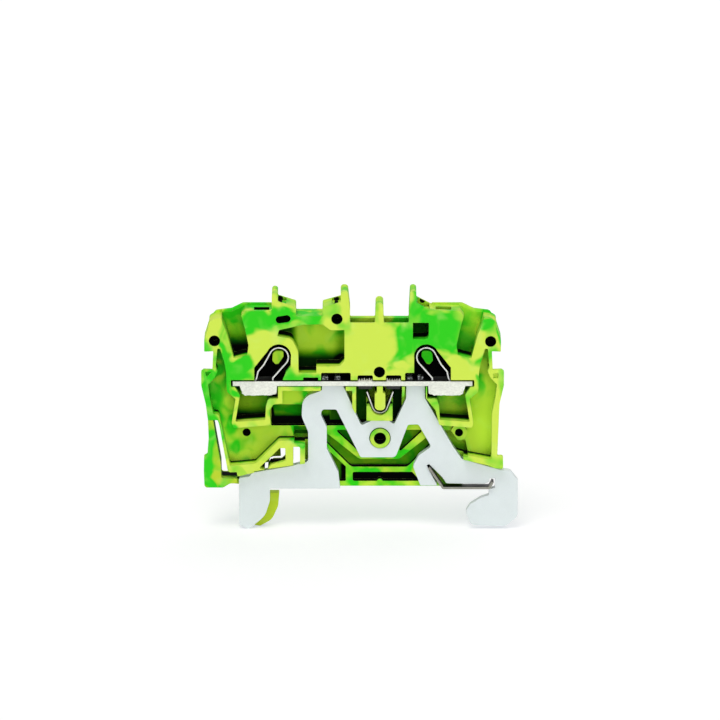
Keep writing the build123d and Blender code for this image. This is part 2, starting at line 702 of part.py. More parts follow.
def ground_foot():
    """Stamped plate: feet under both lips of the rail, gooseneck and V up to the bar."""
    outer = [
        (-9.2, BUSBAR_Z, 0),
        (-9.2, 16.22, 0.4),
        (-12.3, 15.09, 2.6),
        (-12.5, 11.91, 2.6),
        (-11.45, 9.44, 1.5),
        (-11.45, 4.47, 0.5),
        (-14.0, 3.75, 2),
        (-20.4, 2.62, 0.4),
        (-20.9, 2.0, 0.4),
        (-22.6, 1.75, 0.3),
        (-22.6, -6.06, 0.8),
        (-21.0, -6.78, 0.6),
        (-18.4, -4.52, 3),
        (-RAIL_EDGE, -2.05, 2),
        (-RAIL_EDGE, 0, 0.1),
        (-6.3, 0, 0.1),
        (-6.6, 2.77, 0.8),
        (-8.45, 6.67, 0.6),
        (-8.45, 10.16, 0.8),
        (-9.4, 12.22, 0.5),
        (-9.2, 13.09, 0.5),
        (-6.9, 13.09, 0.4),
        (-3.0, 5.18, 0.4),
        (2.6, 5.18, 0.8),
        (4.6, 10.57, 0.4),
        (6.3, 10.62, 0.5),
        (8.35, 6.93, 0.5),
        (6.3, 5.44, 0.8),
        (5.4, 3.7, 0.9),
        (6.6, 0.51, 0.2),
        (9.35, 0.51, 0.1),
        (7.6, 3.85, 0.1),
        (8.0, 4.05, 0.1),
        (10.15, 1.85, 0.4),
        (10.8, 0.85, 0.5),
        (16.8, 0.75, 0.4),
        (17.7, 1.13, 0.3),
        (17.75, 1.69, 0.05),
        (18.6, 1.69, 0.05),
        (18.6, 0.1, 0.2),
        (RAIL_EDGE, -0.1, 0.1),
        (RAIL_EDGE, LIP_Z, 0.15),
        (16.4, -1.54, 0.8),
        (14.6, -2.67, 0.5),
        (13.9, -3.8, 0.8),
        (14.7, -6.06, 1),
        (20.3, -6.26, 1.2),
        (22.3, -4.62, 1.2),
        (22.3, 1.33, 0.8),
        (21.0, 2.93, 0.6),
        (19.5, 3.08, 0.5),
        (13.3, 4.88, 0.6),
        (11.9, 6.88, 1),
        (7.3, 14.99, 0.4),
        (7.3, BUSBAR_Z, 0),
        (4.3, BUSBAR_Z, 0),
        (4.3, 14.88, 0.3),
        (2.35, 10.57, 0.3),
        (1.6, 11.19, 0.8),
        (0.1, 11.65, 2),
        (-1.4, 11.19, 0.8),
        (-2.9, 10.42, 0.4),
        (-5.9, BUSBAR_Z, 0),
    ]
    plate = prism(rounded(*outer, r=0.2), FOOT_Y, SEAT)
    plate = plate - drum(*BOSS_AT, BOSS_R + BOSS_CLEARANCE, BEFORE, BEHIND)
    half = TENON_WIDTH / 2
    tip = BUSBAR_TOP + TENON_RISE
    tenons = [block(x - half, x + half, BUSBAR_Z - 1, tip, FOOT_Y, SEAT) for x in TENONS]
    return plate + tenons


# ---------------------------------------------------------------- springs
def clamp_paths(side):
    """Middle lines of a clamp spring: fixed leg with its loop, and tongue."""
    centre = (MID + side * CLAMP_U, CLAMP_Z)
    leg_x = MID + side * (WINDOW_START + SPRING_GAP / 2 + SPRING_T / 2)
    knee = (leg_x, BUSBAR_TOP + 0.4)
    touch = tangent_point(centre, LOOP_R, knee, -side)
    end_angle = TONGUE_START + math.degrees(HINGE_GAP / LOOP_R)

    def on_loop(angle):
        return (
            centre[0] + side * LOOP_R * math.cos(math.radians(angle)),
            centre[1] + LOOP_R * math.sin(math.radians(angle)),
        )

    leg = FilletPolyline(xz((leg_x, BUSBAR_Z - 1.0)), xz(knee), xz(touch), radius=0.3)
    loop = Edge.make_three_point_arc(xz(touch), xz(on_loop(120)), xz(on_loop(end_angle)))
    tongue_points = [
        on_loop(TONGUE_START),
        *sided(side, (14.2, 20.63), (15.15, 19.5), (15.4, 18.37), (16.2, 16.73)),
    ]
    tongue = FilletPolyline(*[xz(p) for p in tongue_points], radius=0.45)
    return Wire([*leg.edges(), loop]), Wire(tongue.edges())


def jumper_spring():
    """U-shaped spring under the bar: a fixed base and two tines."""
    centre = (BOSS_AT[0], JUMPER_BEND_Z)
    radius, lean = 1.22, 21.0

    def on_arc(angle):
        turn = math.radians(angle)
        return Vector(centre[0] + radius * math.sin(turn), 0, centre[1] - radius * math.cos(turn))

    side_angle = 90 - lean
    gap_angle = math.degrees(HINGE_GAP / radius)
    base = Edge.make_three_point_arc(on_arc(-side_angle), on_arc(0), on_arc(side_angle))
    made = {"jumper_spring": strip(Wire([base]), TINE_T, *SPRING_Y)}
    for side, name in ((-1, "jumper_tine_left"), (1, "jumper_tine_right")):
        foot = on_arc(side * (side_angle + gap_angle))
        tip = Vector(centre[0] + side * TINE_SPREAD, 0, BUSBAR_Z - 1.1)
        made[name] = strip(Wire([Edge.make_line(foot, tip)]), TINE_T, *SPRING_Y)
    return made


def rail_strip():
    """Contact strip between ground foot and rail: a leg held in the foot's slot, and its free arm."""
    middle = RAIL_TOP_GAP + STRIP_T / 2
    near, far = SEAT - 0.1 - STRIP_WIDTH, SEAT - 0.1
    top, split = xz((7.95, 3.64)), xz((9.95, 0.67))
    down = (split - top).normalized()
    corner = split + down * ((split.Z - middle) / -down.Z)
    leg = Edge.make_line(top, split)
    start, end, tip = split + down * HINGE_GAP, xz((17.7, middle)), xz((18.25, 1.23))
    arm = FilletPolyline(start, corner, end, tip, radius=0.25)
    return {
        "rail_strip_leg": strip(Wire([leg]), STRIP_T, near, far),
        "rail_strip": strip(Wire(arm.edges()), STRIP_T, near, far),
    }


# ---------------------------------------------------------------- rail latch
def rail_latch():
    """Springy arm down the left side, with the hook that catches the rail's lip."""
    arm = prism(
        rounded(
            (MID - END + 1.05, LATCH_ROOT_Z - HINGE_GAP, 0),
            (-26.68, LATCH_ROOT_Z - HINGE_GAP, 0),
            (-26.3, 9.24, 3),
            (-25.45, 4.31, 1),
            (-25.4, 2.05, 0.4),
            (-22.9, 2.0, 0.1),
            (-22.9, 1.28, 0.1),
            (-24.0, 1.23, 0.5),
            (-25.1, 0.56, 0.5),
            (-28.1, 0.56, 0.5),
            (-28.2, 3.08, 1),
            (-28.15, 5.8, 0.2),
            (-27.6, LATCH_ARM_Z, 0.2),
            (-27.4, 8.73, 4),
        ),
        FRONT,
        BACK,
    )
    hook = prism(
        rounded(
            (-25.3, 0.62, 0),
            (-25.3, 1.95, 0),
            (-22.9, 1.23, 0.5),
            (-RAIL_EDGE - 0.15, 1.23, 0.4),
            (-RAIL_EDGE - 0.15, LIP_Z, 0.1),
            (-RAIL_EDGE + LATCH_HOOK, LIP_Z, 0.1),
            (-16.3, -3.28, 2),
            (-17.3, -5.54, 2),
            (-19.2, -6.62, 0.3),
            (-20.2, -6.47, 0.3),
            (-22.1, -4.62, 1),
            (-22.3, 0.31, 0.5),
        ),
        SEAT + LATCH_GAP,
        BACK,
    )
    step = block(-28.7, -27.6, LATCH_ARM_Z - LUG_STEP, LATCH_ARM_Z + 0.14, FRONT + LUG_SKIN, BEHIND)
    return (arm - step) + hook


# ---------------------------------------------------------------- all the pieces
def pieces():
    made = {
        "housing": housing(),
        "busbar": busbar(),
        "ground_foot": ground_foot(),
        "rail_latch": rail_latch(),
    }
    for side, name in ((-1, "left"), (1, "right")):
        fixed, moving = clamp_paths(side)
        made[f"{name}_clamp_spring"] = strip(fixed, SPRING_T, *SPRING_Y)
        made[f"{name}_clamp_tongue"] = strip(moving, SPRING_T, *SPRING_Y)
    made.update(jumper_spring())
    made.update(rail_strip())
    return made


os.makedirs("parts", exist_ok=True)
for node, shape in pieces().items():
    export_step(shape, f"parts/{node}.step")
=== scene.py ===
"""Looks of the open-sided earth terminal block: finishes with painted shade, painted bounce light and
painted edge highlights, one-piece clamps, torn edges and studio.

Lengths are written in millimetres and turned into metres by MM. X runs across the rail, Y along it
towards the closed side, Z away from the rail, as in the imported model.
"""

import math

import bmesh
import bpy
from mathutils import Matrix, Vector, noise


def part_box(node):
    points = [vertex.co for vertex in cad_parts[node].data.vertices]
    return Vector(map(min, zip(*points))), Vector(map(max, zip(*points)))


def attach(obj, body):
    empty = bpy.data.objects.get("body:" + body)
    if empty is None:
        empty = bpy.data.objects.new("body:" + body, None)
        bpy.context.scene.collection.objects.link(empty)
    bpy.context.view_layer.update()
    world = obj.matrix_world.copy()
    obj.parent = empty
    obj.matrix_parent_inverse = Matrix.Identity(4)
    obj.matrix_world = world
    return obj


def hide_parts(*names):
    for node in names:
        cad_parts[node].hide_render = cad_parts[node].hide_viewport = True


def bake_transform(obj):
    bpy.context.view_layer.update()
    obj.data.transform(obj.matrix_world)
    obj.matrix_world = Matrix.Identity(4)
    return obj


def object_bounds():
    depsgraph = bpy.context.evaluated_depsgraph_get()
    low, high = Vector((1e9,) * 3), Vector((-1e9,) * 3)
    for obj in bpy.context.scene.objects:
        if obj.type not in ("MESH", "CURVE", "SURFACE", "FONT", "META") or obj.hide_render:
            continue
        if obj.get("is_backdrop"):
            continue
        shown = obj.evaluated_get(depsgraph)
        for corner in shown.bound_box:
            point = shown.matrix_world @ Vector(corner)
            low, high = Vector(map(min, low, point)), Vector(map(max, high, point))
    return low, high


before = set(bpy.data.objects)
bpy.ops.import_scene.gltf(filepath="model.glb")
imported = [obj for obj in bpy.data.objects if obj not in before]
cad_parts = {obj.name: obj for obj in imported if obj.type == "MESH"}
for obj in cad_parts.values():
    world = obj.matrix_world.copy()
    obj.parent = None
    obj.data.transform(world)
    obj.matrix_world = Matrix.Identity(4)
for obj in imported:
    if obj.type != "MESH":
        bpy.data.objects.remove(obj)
cad_low, cad_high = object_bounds()
MM = 0.001

# ---------------------------------------------------------------- places read from the frame
housing_low, housing_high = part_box("housing")
bar_low, bar_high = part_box("busbar")
FRONT_Y = housing_low.y / MM
MID = (housing_low.x + housing_high.x) / 2 / MM
BAR_TOP = bar_high.z / MM
BAR_FRONT = bar_low.y / MM
COLLAR_U = (12.35, 17.75)  # a collar's ends, from the middle of the housing
COLLAR_Z = bar_low.z / MM + 0.1  # just inside its lower edge
FLOOR_Z = cad_low.z

# ---------------------------------------------------------------- colours
GREEN = (0.20, 0.82, 0.12)
LIME = (0.82, 0.92, 0.33)
LATCH_LIME = (0.74, 0.84, 0.20)
TIN = (0.85, 0.88, 0.885)
BAR_TIN = (0.875, 0.885, 0.845)
SPRING = (0.86, 0.86, 0.85)
STRIP = (0.56, 0.555, 0.52)
PALE = (0.82, 0.95, 0.50)  # flecks, and worn edges that are partly painted edge highlights
TEETH = (0.72, 0.72, 0.66)


def linear(colour):
    """An sRGB colour as Blender's linear RGBA."""
    parts = [c / 12.92 if c <= 0.04045 else ((c + 0.055) / 1.055) ** 2.4 for c in colour]
    return (*parts, 1.0)


# ---------------------------------------------------------------- node helpers
class Tree:
    """Adds nodes to a material's tree and returns their output sockets."""

    def __init__(self, name):
        self.material = bpy.data.materials.new(name)
        self.material.use_nodes = True
        self.nodes = self.material.node_tree.nodes
        self.links = self.material.node_tree.links
        self.shader = self.nodes["Principled BSDF"]
        coords = self.nodes.new("ShaderNodeTexCoord").outputs["Object"]
        self.place = self.vector("MULTIPLY", coords, (1 / MM,) * 3)

    def put(self, socket, value):
        if isinstance(value, bpy.types.NodeSocket):
            self.links.new(value, socket)
        else:
            socket.default_value = value

    def vector(self, operation, a, b):
        node = self.nodes.new("ShaderNodeVectorMath")
        node.operation = operation
        self.put(node.inputs[0], a)
        self.put(node.inputs[1], b)
        return node.outputs["Value" if operation in ("DISTANCE", "DOT_PRODUCT", "LENGTH") else "Vector"]

    def math(self, operation, a, b=0.0, clamp=False):
        node = self.nodes.new("ShaderNodeMath")
        node.operation = operation
        node.use_clamp = clamp
        self.put(node.inputs[0], a)
        self.put(node.inputs[1], b)
        return node.outputs[0]

    def smooth(self, value, low, high, to_low=0.0, to_high=1.0):
        """Smooth step of a value between two limits."""
        node = self.nodes.new("ShaderNodeMapRange")
        node.interpolation_type = "SMOOTHSTEP"
        self.put(node.inputs["Value"], value)
        node.inputs["From Min"].default_value = low
        node.inputs["From Max"].default_value = high
        node.inputs["To Min"].default_value = to_low
        node.inputs["To Max"].default_value = to_high
        return node.outputs["Result"]

    def noise(self, place, scale, detail=3.0, rough=0.5, output="Fac"):
        node = self.nodes.new("ShaderNodeTexNoise")
        self.put(node.inputs["Vector"], place)
        node.inputs["Scale"].default_value = scale
        node.inputs["Detail"].default_value = detail
        node.inputs["Roughness"].default_value = rough
        return node.outputs[output]

    def split(self, vector):
        node = self.nodes.new("ShaderNodeSeparateXYZ")
        self.put(node.inputs[0], vector)
        return node.outputs

    def mix(self, factor, a, b):
        node = self.nodes.new("ShaderNodeMix")
        node.data_type = "RGBA"
        self.put(node.inputs["Factor"], factor)
        self.put(node.inputs[6], a)
        self.put(node.inputs[7], b)
        return node.outputs[2]

    def scaled(self, colour, factor):
        """A colour times a number."""
        node = self.nodes.new("ShaderNodeVectorMath")
        node.operation = "SCALE"
        self.put(node.inputs[0], colour)
        self.put(node.inputs["Scale"], factor)
        return node.outputs[0]

    def soft_normal(self, radius):
        node = self.nodes.new("ShaderNodeBevel")
        node.samples = 4
        node.inputs["Radius"].default_value = radius * MM
        return node.outputs[0]

    def edge(self, soft):
        """1 on sharp edges, 0 on flats."""
        plain = self.nodes.new("ShaderNodeNewGeometry").outputs["Normal"]
        return self.smooth(self.vector("DOT_PRODUCT", plain, soft), 0.9, 0.995, 1.0, 0.0)

    def bump(self, height, strength, distance, normal):
        node = self.nodes.new("ShaderNodeBump")
        node.inputs["Strength"].default_value = strength
        node.inputs["Distance"].default_value = distance * MM
        self.put(node.inputs["Height"], height)
        self.put(node.inputs["Normal"], normal)
        return node.outputs[0]

    def band(self, x0, x1, z0, z1, soft, below, above, strength):
        """Soft-edged box in X and Z, the same through the whole depth."""
        x, _, z = self.split(self.place)
        parts = (
            self.smooth(x, x0 - soft, x0 + soft),
            self.smooth(x, x1 - soft, x1 + soft, 1.0, 0.0),
            self.smooth(z, z0 - below, z0, 0.0, strength),
            self.smooth(z, z1, z1 + above, 1.0, 0.0),
        )
        product = parts[0]
        for part in parts[1:]:
            product = self.math("MULTIPLY", product, part)
        return product

    def bore(self, x, z, radius):
        """1 inside a round hole along Y."""
        flat = self.vector("MULTIPLY", self.place, (1, 0, 1))
        return self.smooth(self.vector("DISTANCE", flat, (x, 0, z)), radius, radius + 0.06, 1.0, 0.0)

    def cell_shade(self, bands):
        """Painted shade deep in the moulding's cells, slots and holes: 1 where open, towards 0 in the
        painted dark bands.
        """
        normal = self.nodes.new("ShaderNodeNewGeometry").outputs["Normal"]
        y = self.split(self.place)[1]
        sides = self.smooth(self.math("ABSOLUTE", self.split(normal)[1]), 0.4, 0.8, 1.0, 0.0)
        behind = self.math("MULTIPLY", sides, self.smooth(y, -1.5, 0.0))
        deep = self.math("MAXIMUM", self.smooth(y, 0.9, 1.2), behind)
        closed = self.smooth(y, *CLOSED_SIDE, 1.0, 0.0)
        dark = self.total([self.band(*b) for b in bands[0]])
        dark = self.math("MULTIPLY", self.math("MINIMUM", dark, 1.0), self.math("MULTIPLY", deep, closed))
        slots = self.total([self.band(*b) for b in bands[1]] + [self.bore(*hole) for hole in SHADED_HOLES])
        inside = self.math("MULTIPLY", self.smooth(y, -2.45, -2.2), closed)
        slots = self.math("MULTIPLY", slots, inside)
        both = self.math("MAXIMUM", dark, self.math("MINIMUM", slots, 1.0))
        return self.math("SUBTRACT", 1.0, both)

    def hollow_shade(self, low, high, front=-1.5, reach=1.6, inner=True):
        """Painted shade: 0 deep in narrow holes and on inner ledges, 1 on open faces."""
        plain = self.nodes.new("ShaderNodeNewGeometry").outputs["Normal"]
        facing_up = self.smooth(self.split(plain)[2], 0.3, 0.8)
        lean = self.nodes.new("ShaderNodeCombineXYZ")
        lean.inputs[1].default_value = HOLLOW_LEAN[1]
        not_up = self.math("SUBTRACT", 1.0, facing_up)
        self.put(lean.inputs[2], self.math("MULTIPLY", not_up, HOLLOW_LEAN[2]))
        towards = self.vector("NORMALIZE", self.vector("ADD", plain, lean.outputs[0]), (0, 0, 0))
        node = self.nodes.new("ShaderNodeAmbientOcclusion")
        node.samples = 10
        node.inputs["Distance"].default_value = HOLLOW_REACH * MM
        self.put(node.inputs["Normal"], towards)
        open_share = self.smooth(node.outputs["AO"], low, high)
        x, y, z = self.split(self.place)
        open_share = self.math("MAXIMUM", open_share, self.smooth(z, *RAIL_EDGE, 1.0, 0.0))
        set_back = self.math("MULTIPLY", self.smooth(z, *RAIL_EDGE), self.smooth(y, front, front + reach))
        ledge = self.math("MULTIPLY", facing_up, set_back)
        ledge = self.math("MULTIPLY", ledge, self.smooth(y, 2.0, 2.3, 1.0, 0.0))
        if inner:
            across = self.math("ABSOLUTE", self.math("SUBTRACT", x, MID))
            below_crown = self.smooth(z, 27.2, 27.5, 1.0, 0.0)
            within = self.math("MULTIPLY", self.smooth(across, 22.1, 22.4, 1.0, 0.0), below_crown)
            ledge = self.math("MULTIPLY", ledge, within)
        return self.math("MULTIPLY", open_share, self.math("SUBTRACT", 1.0, ledge))

    def shaded(self, colour, open_share):
        """Colour with painted shade, darker and richer where little of it is open."""
        tint = self.nodes.new("ShaderNodeCombineXYZ")
        self.put(tint.inputs[0], self.math("POWER", open_share, 1.75))
        self.put(tint.inputs[1], open_share)
        self.put(tint.inputs[2], self.math("POWER", open_share, 3.6))
        return self.vector("MULTIPLY", colour, tint.outputs[0])

    def total(self, values):
        sum_ = values[0]
        for value in values[1:]:
            sum_ = self.math("ADD", sum_, value)
        return sum_

    def blob(self, x, z, rx, rz, strength):
        """Soft elliptical patch through the whole depth."""
        near = self.vector("MULTIPLY", self.place, (1 / rx, 0, 1 / rz))
        away = self.vector("DISTANCE", near, (x / rx, 0, z / rz))
        return self.smooth(away, 0.35, 1.25, strength, 0.0)


# Yellow (+) and green (-) areas of the marbling: x, z, half width, half height, strength.
PATCHES = (
    (-26.3, 26.0, 2.0, 3.0, 0.9),
    (-20.2, 27.8, 2.3, 2.4, -1.0),
    (-18.4, 24.3, 2.6, 3.2, 1.3),
    (-18.2, 29.0, 2.5, 1.2, -1.1),
    (-24.2, 21.4, 1.4, 2.4, -1.0),
    (8.6, 28.4, 2.2, 0.7, 0.6),
    (7.6, 22.6, 1.2, 1.6, -2.0),
    (-4.1, 15.2, 0.7, 2.4, 0.9),
    (-2.0, 3.7, 1.6, 0.8, 1.2),
    (-22.6, 19.2, 2.0, 2.6, -1.1),
    (-13.5, 28.7, 5.0, 1.0, -1.0),
    (-8.0, 26.3, 1.8, 2.6, 1.0),
    (-13.3, 23.3, 2.6, 3.0, 1.0),
    (-8.0, 20.0, 6.0, 1.4, 1.1),
    (-1.6, 23.6, 4.2, 6.0, 1.4),
    (3.5, 25.2, 1.6, 3.4, -1.3),
    (3.4, 24.6, 0.7, 1.2, 0.4),
    (9.0, 26.0, 4.4, 3.4, -1.1),
    (12.6, 23.4, 1.7, 2.0, -0.8),
    (13.2, 20.0, 3.4, 2.0, 1.3),
    (4.3, 21.0, 1.4, 0.8, 0.8),
    (2.0, 20.0, 1.0, 0.5, -0.5),
    (17.3, 27.3, 1.5, 1.2, -1.0),
    (19.4, 25.0, 0.8, 1.6, -0.7),
    (15.8, 24.3, 1.1, 2.8, 1.0),
    (17.5, 11.0, 3.6, 10.0, 1.0),
    (15.9, 17.6, 0.9, 2.2, -1.1),
    (-27.4, 10.0, 2.0, 9.0, -1.3),
    (-27.4, 19.3, 1.5, 1.6, -1.8),
    (-12.6, 9.2, 1.3, 1.1, -1.2),
    (-24.7, 20.0, 1.4, 4.0, -1.4),
    (-21.4, 21.4, 2.2, 1.2, -1.2),
    (-25.3, 25.6, 0.8, 2.4, -0.8),
    (-23.0, 27.5, 1.3, 2.0, -0.9),
    (-24.0, 14.4, 1.3, 1.4, 0.7),
    (-27.0, 3.0, 2.4, 3.6, -1.2),
    (-22.6, 16.2, 1.2, 1.0, -0.9),
    (-21.7, 12.8, 1.2, 2.0, 0.8),
    (-18.5, 12.0, 2.5, 1.0, 0.6),
    (-15.6, 14.0, 1.3, 2.0, 0.7),
    (-10.5, 16.3, 5.0, 0.9, 1.2),
    (-13.0, 13.0, 4.0, 1.6, -1.4),
    (-9.5, 24.0, 2.6, 2.4, 0.6),
    (-16.5, 8.2, 4.6, 2.4, 0.2),
    (-13.0, 9.8, 2.6, 0.8, -0.6),
    (-23.4, 9.6, 1.3, 2.0, -1.4),
    (-23.4, 6.2, 1.2, 1.6, -0.8),
    (-12.5, 11.0, 2.0, 0.8, -0.4),
    (-19.0, 4.4, 6.0, 0.9, 1.0),
    (-14.0, 5.5, 3.0, 1.6, 0.8),
    (-6.0, 9.5, 1.5, 2.6, -0.4),
    (-3.0, 5.8, 3.0, 0.8, 0.5),
    (-2.0, 3.7, 2.5, 0.8, 0.9),
    (2.0, 5.6, 3.0, 0.8, -0.6),
    (0.0, 1.6, 6.0, 0.9, -1.0),
    (6.2, 8.8, 2.0, 2.0, 0.5),
    (0.1, 14.5, 1.5, 2.6, 0.8),
    (-17.2, 31.8, 1.0, 1.2, 0.7),
    (-15.8, 29.9, 2.0, 1.2, -0.9),
    (-9.9, 30.0, 1.0, 1.0, -0.8),
    (-5.4, 30.0, 1.2, 2.6, 0.6),
    (0.0, 29.6, 1.0, 2.0, 0.8),
    (5.3, 31.2, 1.0, 2.0, -0.7),
)
# The same for the rail latch.
LATCH_PATCHES = (
    (-27.8, 5.0, 1.3, 9.0, -1.1),
    (-26.0, 2.0, 1.3, 1.6, 1.2),
    (-22.0, 4.0, 3.0, 1.0, 0.6),
    (-19.0, -3.0, 5.0, 6.0, 2.5),
)
# Round holes, and recesses under the crown's ribs, shown as round and painted dark as shade: x, z, radius.
SHADED_HOLES = (
    (-15.9, 30.7, 0.42),
    (-6.9, 30.7, 0.4),
    (6.9, 30.4, 0.42),
    (-26.4, 24.74, 0.9),
    (17.8, 24.64, 0.9),
    (-6.8, 28.33, 0.9),
    (0.0, 19.61, 0.9),
    (0.1, 8.37, 0.95),
    (-21.35, 8.93, 0.62),
    (12.8, 9.03, 0.62),
)
# Painted shade in the cells: x and z range, softness of the sides, below and above, strength.
CELL_SHADE_BANDS = (
    (-25.6, -20.8, 20.0, 22.9, 0.2, 0.2, 2.8, 0.85),
    (-25.6, -20.8, 20.0, 31.0, 0.2, 0.2, 0.2, 0.15),
    (-14.4, -5.5, 18.0, 20.7, 0.4, 0.2, 2.2, 0.97),
    (-16.4, -13.6, 19.0, 26.0, 0.7, 0.2, 1.4, 0.9),
    (-6.8, -5.4, 18.0, 27.6, 0.8, 0.2, 0.2, 0.35),
    (-20.4, -14.2, 17.6, 24.4, 0.15, 0.2, 0.2, 1.0),
    (5.6, 11.8, 17.6, 24.4, 0.15, 0.2, 0.2, 1.0),
    (-26.8, -22.8, 15.2, 20.4, 0.2, 1.6, 0.2, 0.72),
    (-26.8, -25.2, 20.4, 24.6, 0.2, 0.2, 0.2, 0.72),
    (-28.0, -24.8, 15.2, 17.6, 0.4, 0.8, 0.8, 0.6),
    (-23.2, -17.0, 9.6, 10.9, 0.2, 0.2, 2.4, 1.0),
    (-23.2, -17.0, 9.6, 17.0, 0.2, 0.2, 0.2, 0.25),
    (-17.6, -8.0, 9.6, 10.2, 0.2, 0.2, 2.0, 1.0),
    (-17.6, -8.0, 9.6, 14.6, 0.2, 0.2, 0.4, 0.55),
    (-8.0, -1.6, 9.6, 17.0, 0.3, 0.2, 0.2, 0.85),
    (1.8, 9.0, 9.6, 17.0, 0.3, 0.2, 0.2, 0.97),
    (9.0, 14.7, 9.6, 10.9, 0.2, 0.2, 1.8, 1.0),
    (-8.3, 8.3, 0.4, 10.4, 0.3, 0.2, 0.4, 0.5),
    (-6.2, 6.2, 0.4, 3.2, 0.3, 0.2, 0.3, 0.6),
    (9.8, 14.9, 4.0, 6.2, 0.3, 0.2, 1.4, 0.5),
    (5.0, 8.2, 24.6, 27.6, 0.2, 1.2, 0.2, 0.8),
)
# The same painted shade for slots, recesses and the bar's groove, painted dark nearer to the open side too.
SLOT_SHADE_BANDS = (
    (-17.0, -13.9, 27.3, 29.2, 0.05, 0.1, 0.1, 1.0),
    (-13.8, -11.4, 8.5, 9.9, 0.15, 0.15, 0.15, 0.75),
    (-24.6, 16.0, 17.95, 19.3, 0.2, 0.05, 0.3, 1.0),
    (-20.8, -17.2, 28.4, 29.6, 0.2, 0.1, 0.05, 1.0),
    (-18.8, -15.0, 20.0, 24.0, 0.3, 0.3, 0.3, 0.45),
    (6.0, 9.4, 20.0, 24.0, 0.3, 0.3, 0.3, 0.5),
)
PAINTED_BOUNCE_TINT = (0.86, 1.0, 0.5)  # painted bounce light: the tint of light that has gone from wall to wall
HOLLOW_LEAN = (0.0, -0.5, -1.3)  # the shade looks towards the open side and, on walls, down
HOLLOW_REACH = 9.0
CLOSED_SIDE = (2.15, 2.3)  # the shade of the cells ends between these depths
RAIL_EDGE = (-0.3, 0.3)  # no shade below the rail's top edges


def marbled(name, green, lime, patches, cell_shade=None):
    """Moulded nylon whose green and yellow melts never quite mixed, with painted shade, painted bounce
    light and partly painted edge highlights.
    """
    t = Tree(name)
    drift = t.vector("SUBTRACT", t.noise(t.place, 0.28, 1.5, 0.45, "Color"), (0.5, 0.5, 0.5))
    warped = t.vector("ADD", t.place, t.vector("MULTIPLY", drift, (5.0, 5.0, 5.0)))
    swirl = t.math("MULTIPLY", t.math("SUBTRACT", t.noise(warped, 0.3, 1.5, 0.45), 0.5), 3.0)
    t.place, plain_place = warped, t.place
    field = t.total([swirl] + [t.blob(*patch) for patch in patches])
    t.place = plain_place
    share = t.smooth(field, -0.75, 0.65)
    colour = t.mix(share, linear(green), linear(lime))
    pale = t.smooth(t.noise(warped, 0.35, 1.5, 0.45), 0.5, 0.8, 0.0, 0.35)
    colour = t.mix(pale, colour, linear(PALE))
    # painted shade from an occlusion node leaned to the open side, and on set-back ledges
    open_share = t.hollow_shade(0.03, 0.13)
    # painted shade in the cells, slots and holes, placed by position and depth
    if cell_shade:
        open_share = t.math("MULTIPLY", open_share, t.cell_shade(cell_shade))
    colour = t.shaded(colour, open_share)
    # painted bounce light tints the colour deep inside the cells
    if cell_shade:
        y = t.split(t.place)[1]
        inside = t.math("MULTIPLY", t.smooth(y, -0.9, 0.9), t.smooth(y, *CLOSED_SIDE, 1.0, 0.0))
        colour = t.mix(inside, colour, t.vector("MULTIPLY", colour, PAINTED_BOUNCE_TINT))
    soft = t.soft_normal(0.09)
    # wear and painted highlight: paler on sharp edges
    worn_and_highlit = t.math("MULTIPLY", t.edge(soft), t.smooth(t.noise(t.place, 0.9, 3.0), 0.35, 0.7, 0.05, 0.35))
    colour = t.mix(worn_and_highlit, colour, linear(PALE))
    t.put(t.shader.inputs["Base Color"], colour)
    grain = t.noise(t.place, 9.0, 2.0, 0.6)
    dull = t.math("MULTIPLY", t.math("SUBTRACT", 1.0, open_share), 0.35)
    t.put(t.shader.inputs["Roughness"], t.math("ADD", t.smooth(grain, 0.25, 0.75, 0.5, 0.65), dull))
    t.put(t.shader.inputs["Normal"], t.bump(grain, 0.12, 0.02, soft))
    t.shader.inputs["Specular IOR Level"].default_value = 0.08
    return t.material


LEDGE_SHADE = (0.02, 0.3, -2.24, 0.25)  # painted shade: open share's limits, start and depth of a painted dark ledge


def metal(name, colour, rough, scale, grain, spots, metallic=1.0, dark=LEDGE_SHADE, upset=None, shaft_shade=None):
    """Rolled or plated sheet: fine directional grain, cloudy stains, bright sheared edges partly painted as
    highlights, painted shade.
    """
    t = Tree(name)
    lines = t.noise(t.vector("MULTIPLY", t.place, scale), 1.0, 4.0, 0.65)
    clouds = t.noise(t.place, 0.35, 3.0, 0.6)
    shade = t.total([t.smooth(lines, 0.2, 0.8, -grain, grain), t.smooth(clouds, 0.3, 0.7, -spots, spots)])
    tone = t.math("ADD", 1.0, shade)
    soft = t.soft_normal(0.05)
    # wear and painted highlight: brighter on sharp edges
    worn_and_highlit = t.math("MULTIPLY", t.edge(soft), t.smooth(lines, 0.3, 0.7, 0.15, 0.6))
    body = t.scaled(linear(colour)[:3], tone)
    # painted shade in the metal's hollows and on its inner ledges
    if dark:
        body = t.scaled(body, t.hollow_shade(*dark, inner=False))
    finished = t.mix(worn_and_highlit, body, linear([min(1.0, c * 1.05) for c in colour]))
    # painted shade: the bar turns near black deeper inside the housing than these depths
    if shaft_shade:
        finished = t.scaled(finished, t.smooth(t.split(t.place)[1], *shaft_shade, 1.0, 0.04))
    if upset:
        crushed = t.noise(t.vector("MULTIPLY", t.place, (2.2, 1.0, 3.0)), 1.0, 2.0)
        specks = t.smooth(crushed, 0.45, 0.62, 0.03, 0.75)
        raised = t.smooth(t.split(t.place)[2], upset - 0.02, upset + 0.02)
        finished = t.mix(raised, finished, t.scaled(finished, specks))
    t.put(t.shader.inputs["Base Color"], finished)
    t.shader.inputs["Metallic"].default_value = metallic
    t.put(t.shader.inputs["Roughness"], t.smooth(lines, 0.2, 0.8, rough - 0.06, rough + 0.08))
    t.put(t.shader.inputs["Normal"], t.bump(lines, 0.15, 0.01, soft))
    return t.material
